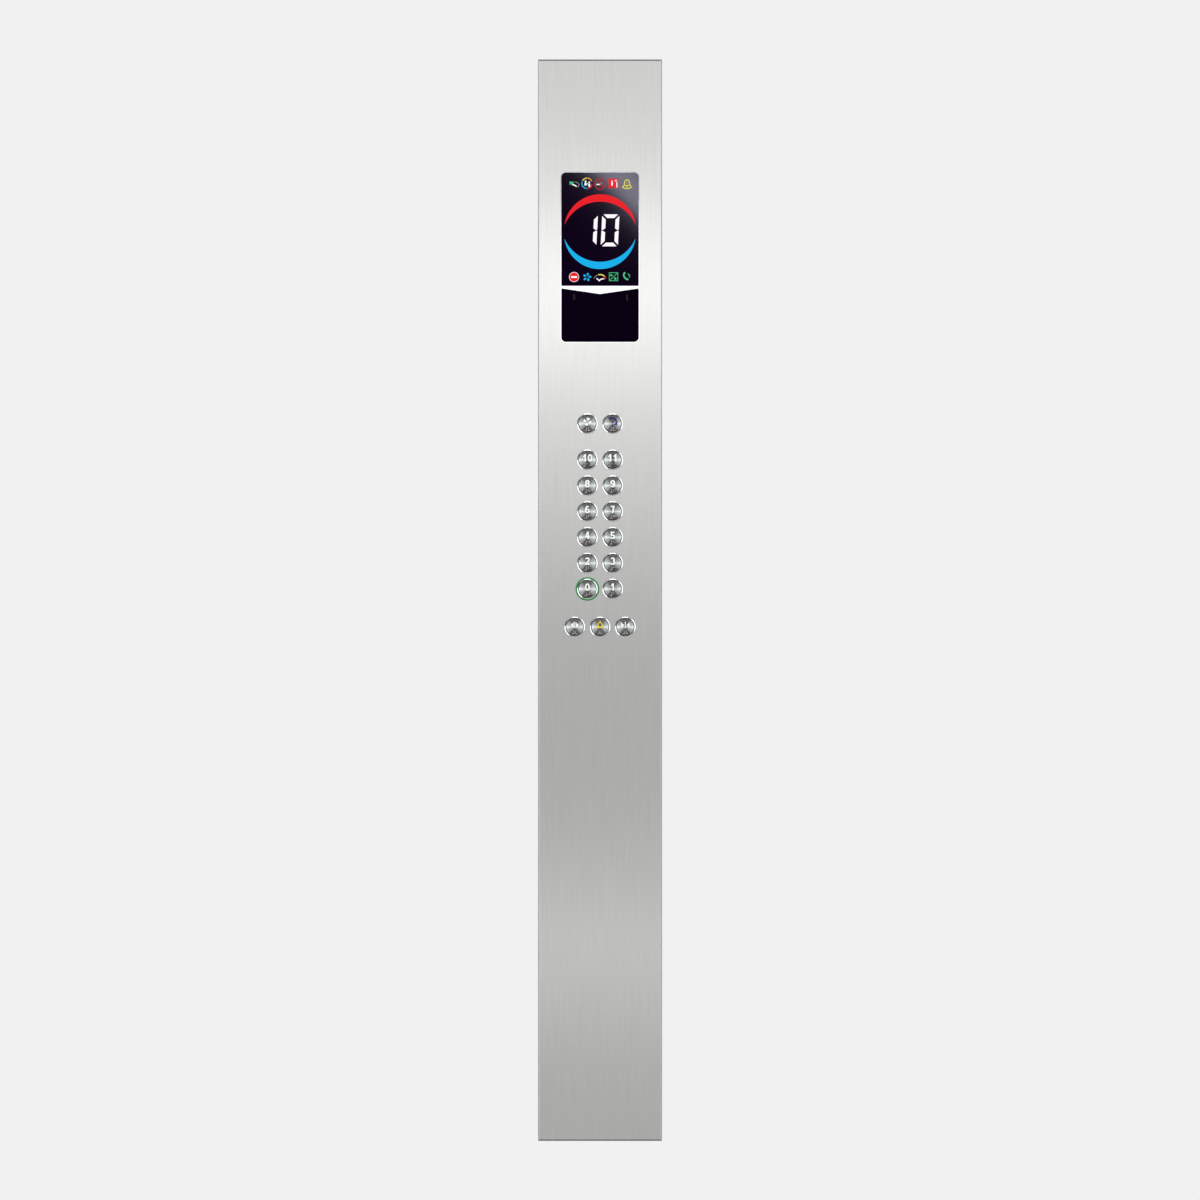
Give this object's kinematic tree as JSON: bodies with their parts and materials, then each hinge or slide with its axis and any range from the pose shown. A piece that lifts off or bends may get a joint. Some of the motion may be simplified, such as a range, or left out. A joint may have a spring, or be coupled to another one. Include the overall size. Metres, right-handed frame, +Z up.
{
  "type": "elevator car operating panel",
  "caption": "Tall flush stainless panel for an elevator car: swing front with display window, round push buttons, edge locks and a wiring box let into the wall.",
  "frame": {"origin": "centre of the wall screw pattern, on the back face of the box's flange, which lies on the wall", "axes": "+X right as the passenger sees it, +Y into the wall, +Z up"},
  "size_m": [0.24, 0.0802, 2.094],
  "materials": {
    "hairline_stainless": "vertical hairline",
    "turned_stainless": "fine turned rings",
    "stainless_sheet": "mill finish",
    "bright_steel": "polished",
    "galvanised_sheet": "zinc spangle",
    "zinc_plated_steel": "satin zinc",
    "copper_plated_stud": "satin",
    "black_nylon": "fine moulded",
    "black_components": "moulded",
    "black_acrylic": "polished",
    "white_acrylic": "polished",
    "white_polycarbonate": "moulded",
    "green_polycarbonate": "moulded",
    "green_terminal_plastic": "moulded",
    "grey_terminal_plastic": "moulded",
    "ivory_connector_plastic": "moulded",
    "circuit_laminate": "solder mask",
    "brass_parts": "machined",
    "buffer_rubber": "matt"
  },
  "bodies": {
    "wall_box": {"back_box": "galvanised_sheet", "box_end_plates": "galvanised_sheet", "wall_flange": "galvanised_sheet", "gland_plate": "stainless_sheet", "cable_gland": "black_nylon", "gland_locknut": "black_nylon", "box_screws": "zinc_plated_steel", "stop_buffers": "buffer_rubber", "hinge_box_leaves": "zinc_plated_steel", "hinge_pins": "bright_steel", "keeper_pins": "bright_steel", "control_board": "circuit_laminate", "board_standoffs": "brass_parts", "board_parts": "black_components", "board_connectors": "green_terminal_plastic", "din_rail": "zinc_plated_steel", "rail_terminals": "grey_terminal_plastic", "earth_stud": "brass_parts"},
    "front_panel": {"faceplate": "hairline_stainless", "weld_studs": "copper_plated_stud", "stud_nuts": "zinc_plated_steel", "stiffener_channels": "galvanised_sheet", "hinge_panel_leaves": "zinc_plated_steel", "lens_frame": "bright_steel", "upper_lens": "black_acrylic", "lower_lens": "black_acrylic", "chevron_strip": "white_acrylic", "module_spacers": "zinc_plated_steel", "display_board": "circuit_laminate", "display_light_box": "white_polycarbonate", "card_reader_board": "circuit_laminate", "button_bezels": "bright_steel", "button_nuts": "zinc_plated_steel", "button_housings": "black_nylon", "button_boards": "circuit_laminate", "plug_headers": "ivory_connector_plastic", "exit_collar": "green_polycarbonate", "lock_bushes": "brass_parts", "lock_brackets": "zinc_plated_steel"},
    "lower_lock": {"lower_lock_spindle": "bright_steel", "lower_lock_claw": "zinc_plated_steel"},
    "upper_lock": {"upper_lock_spindle": "bright_steel", "upper_lock_claw": "zinc_plated_steel"},
    "button_floor_0": {"cap_floor_0": "turned_stainless"},
    "button_floor_1": {"cap_floor_1": "turned_stainless"},
    "button_floor_2": {"cap_floor_2": "turned_stainless"},
    "button_floor_3": {"cap_floor_3": "turned_stainless"},
    "button_floor_4": {"cap_floor_4": "turned_stainless"},
    "button_floor_5": {"cap_floor_5": "turned_stainless"},
    "button_floor_6": {"cap_floor_6": "turned_stainless"},
    "button_floor_7": {"cap_floor_7": "turned_stainless"},
    "button_floor_8": {"cap_floor_8": "turned_stainless"},
    "button_floor_9": {"cap_floor_9": "turned_stainless"},
    "button_floor_10": {"cap_floor_10": "turned_stainless"},
    "button_floor_11": {"cap_floor_11": "turned_stainless"},
    "button_fan": {"cap_fan": "turned_stainless"},
    "button_call": {"cap_call": "turned_stainless"},
    "button_door_open": {"cap_door_open": "turned_stainless"},
    "button_alarm": {"cap_alarm": "turned_stainless"},
    "button_door_close": {"cap_door_close": "turned_stainless"}
  },
  "joints": [
    {"name": "panel_swing", "type": "hinge", "parent": "wall_box", "child": "front_panel", "pos_m": [-0.114, -0.008, 0], "axis": [0, 0, -1], "range_deg": [0, 95]},
    {"name": "lower_lock_turn", "type": "hinge", "parent": "front_panel", "child": "lower_lock", "pos_m": [0.1, -0.0085, -0.925], "axis": [1, 0, 0], "range_deg": [0, 90]},
    {"name": "upper_lock_turn", "type": "hinge", "parent": "front_panel", "child": "upper_lock", "pos_m": [0.1, -0.0085, 0.925], "axis": [1, 0, 0], "range_deg": [0, 90]},
    {"name": "button_floor_0_press", "type": "slide", "parent": "front_panel", "child": "button_floor_0", "axis": [0, 1, 0], "range_m": [0, 0.002], "stiffness_N_per_m": 1200, "springref_m": -0.002},
    {"name": "button_floor_1_press", "type": "slide", "parent": "front_panel", "child": "button_floor_1", "axis": [0, 1, 0], "range_m": [0, 0.002], "stiffness_N_per_m": 1200, "springref_m": -0.002},
    {"name": "button_floor_2_press", "type": "slide", "parent": "front_panel", "child": "button_floor_2", "axis": [0, 1, 0], "range_m": [0, 0.002], "stiffness_N_per_m": 1200, "springref_m": -0.002},
    {"name": "button_floor_3_press", "type": "slide", "parent": "front_panel", "child": "button_floor_3", "axis": [0, 1, 0], "range_m": [0, 0.002], "stiffness_N_per_m": 1200, "springref_m": -0.002},
    {"name": "button_floor_4_press", "type": "slide", "parent": "front_panel", "child": "button_floor_4", "axis": [0, 1, 0], "range_m": [0, 0.002], "stiffness_N_per_m": 1200, "springref_m": -0.002},
    {"name": "button_floor_5_press", "type": "slide", "parent": "front_panel", "child": "button_floor_5", "axis": [0, 1, 0], "range_m": [0, 0.002], "stiffness_N_per_m": 1200, "springref_m": -0.002},
    {"name": "button_floor_6_press", "type": "slide", "parent": "front_panel", "child": "button_floor_6", "axis": [0, 1, 0], "range_m": [0, 0.002], "stiffness_N_per_m": 1200, "springref_m": -0.002},
    {"name": "button_floor_7_press", "type": "slide", "parent": "front_panel", "child": "button_floor_7", "axis": [0, 1, 0], "range_m": [0, 0.002], "stiffness_N_per_m": 1200, "springref_m": -0.002},
    {"name": "button_floor_8_press", "type": "slide", "parent": "front_panel", "child": "button_floor_8", "axis": [0, 1, 0], "range_m": [0, 0.002], "stiffness_N_per_m": 1200, "springref_m": -0.002},
    {"name": "button_floor_9_press", "type": "slide", "parent": "front_panel", "child": "button_floor_9", "axis": [0, 1, 0], "range_m": [0, 0.002], "stiffness_N_per_m": 1200, "springref_m": -0.002},
    {"name": "button_floor_10_press", "type": "slide", "parent": "front_panel", "child": "button_floor_10", "axis": [0, 1, 0], "range_m": [0, 0.002], "stiffness_N_per_m": 1200, "springref_m": -0.002},
    {"name": "button_floor_11_press", "type": "slide", "parent": "front_panel", "child": "button_floor_11", "axis": [0, 1, 0], "range_m": [0, 0.002], "stiffness_N_per_m": 1200, "springref_m": -0.002},
    {"name": "button_fan_press", "type": "slide", "parent": "front_panel", "child": "button_fan", "axis": [0, 1, 0], "range_m": [0, 0.002], "stiffness_N_per_m": 1200, "springref_m": -0.002},
    {"name": "button_call_press", "type": "slide", "parent": "front_panel", "child": "button_call", "axis": [0, 1, 0], "range_m": [0, 0.002], "stiffness_N_per_m": 1200, "springref_m": -0.002},
    {"name": "button_door_open_press", "type": "slide", "parent": "front_panel", "child": "button_door_open", "axis": [0, 1, 0], "range_m": [0, 0.002], "stiffness_N_per_m": 1200, "springref_m": -0.002},
    {"name": "button_alarm_press", "type": "slide", "parent": "front_panel", "child": "button_alarm", "axis": [0, 1, 0], "range_m": [0, 0.002], "stiffness_N_per_m": 1200, "springref_m": -0.002},
    {"name": "button_door_close_press", "type": "slide", "parent": "front_panel", "child": "button_door_close", "axis": [0, 1, 0], "range_m": [0, 0.002], "stiffness_N_per_m": 1200, "springref_m": -0.002}
  ]
}
